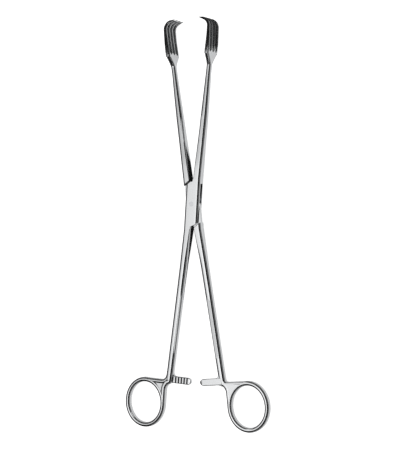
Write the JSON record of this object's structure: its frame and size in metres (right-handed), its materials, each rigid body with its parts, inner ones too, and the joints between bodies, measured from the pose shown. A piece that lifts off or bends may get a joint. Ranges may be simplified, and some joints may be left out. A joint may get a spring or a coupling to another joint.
{
  "type": "uterine tenaculum forceps",
  "caption": "Long ring-handled grasping forceps with a box lock, a ratchet, and forked jaws whose sharp prongs hook towards each other.",
  "frame": {"origin": "on the pivot axis, at the underside of the box lock", "axes": "+Y towards the jaws, -Y towards the finger rings, +Z along the pivot axis towards the side that shows"},
  "size_m": [0.0956, 0.2447, 0.0147],
  "materials": {
    "forged_steel": "mirror polished stainless steel",
    "pin_steel": "ground flush and polished"
  },
  "bodies": {
    "box_body": {"box_half": "forged_steel", "pivot_pin": "pin_steel"},
    "tongue_body": {"tongue_half": "forged_steel"}
  },
  "joints": [
    {"name": "lock_pivot", "type": "hinge", "parent": "box_body", "child": "tongue_body", "pos_m": [0, 0, 0], "axis": [0, 0, 1], "range_deg": [-9.4, 40.6]}
  ]
}
